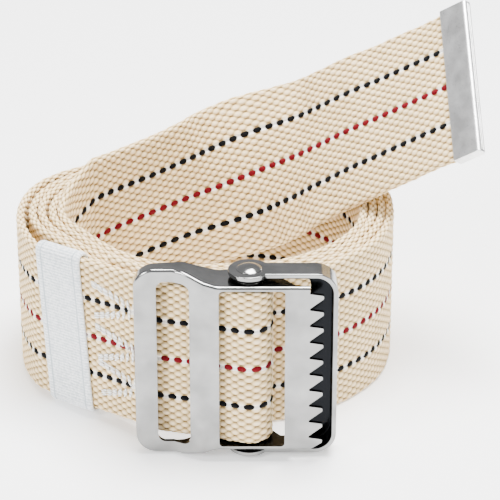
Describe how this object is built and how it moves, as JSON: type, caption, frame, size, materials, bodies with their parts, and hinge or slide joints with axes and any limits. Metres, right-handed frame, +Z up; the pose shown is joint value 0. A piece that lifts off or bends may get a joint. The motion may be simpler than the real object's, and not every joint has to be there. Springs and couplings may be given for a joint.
{
  "type": "gait belt",
  "caption": "Transfer belt of cotton webbing coiled on its edge, with a toothed metal buckle, an elastic keeper and a metal end tip",
  "frame": {"origin": "bottom centre of the whole part, on the floor the coil stands on", "axes": "+X right, along the buckle from its left bar to its teeth; +Y from the buckle back across the coil; +Z up, along the pivot pin and the webbing's width"},
  "size_m": [0.1446, 0.1215, 0.1133],
  "materials": {
    "webbing": "woven natural cotton with three tracer stripes",
    "end_tip": "plain pressed steel",
    "elastic": "knitted white elastic",
    "thread": "white sewing thread",
    "buckle": "bright nickel plate"
  },
  "bodies": {
    "belt": {"webbing_turn_1": "webbing", "webbing_turn_2": "webbing", "webbing_turn_3": "webbing", "webbing_turn_4": "webbing", "webbing_lead": "webbing", "webbing_loop": "webbing", "webbing_free_end": "webbing", "end_tip": "end_tip", "bar_tack": "thread"},
    "keeper": {"elastic_keeper": "elastic"},
    "bail": {"bail": "buckle", "pivot_pin": "buckle", "upper_washer": "buckle", "lower_washer": "buckle"},
    "jaw": {"toothed_jaw": "buckle"}
  },
  "joints": [
    {"name": "bail_pivot", "type": "hinge", "parent": "belt", "child": "bail", "pos_m": [0.00061, -0.05375, 0.0314], "axis": [0, 0, 1], "range_deg": [-10, 30]},
    {"name": "jaw_pivot", "type": "hinge", "parent": "belt", "child": "jaw", "pos_m": [0.00061, -0.05375, 0.0314], "axis": [0, 0, 1], "range_deg": [0, 10]},
    {"name": "keeper_slide", "type": "slide", "parent": "belt", "child": "keeper", "axis": [0.7635, -0.6407, 0.0811], "range_m": [0, 0.004]}
  ]
}
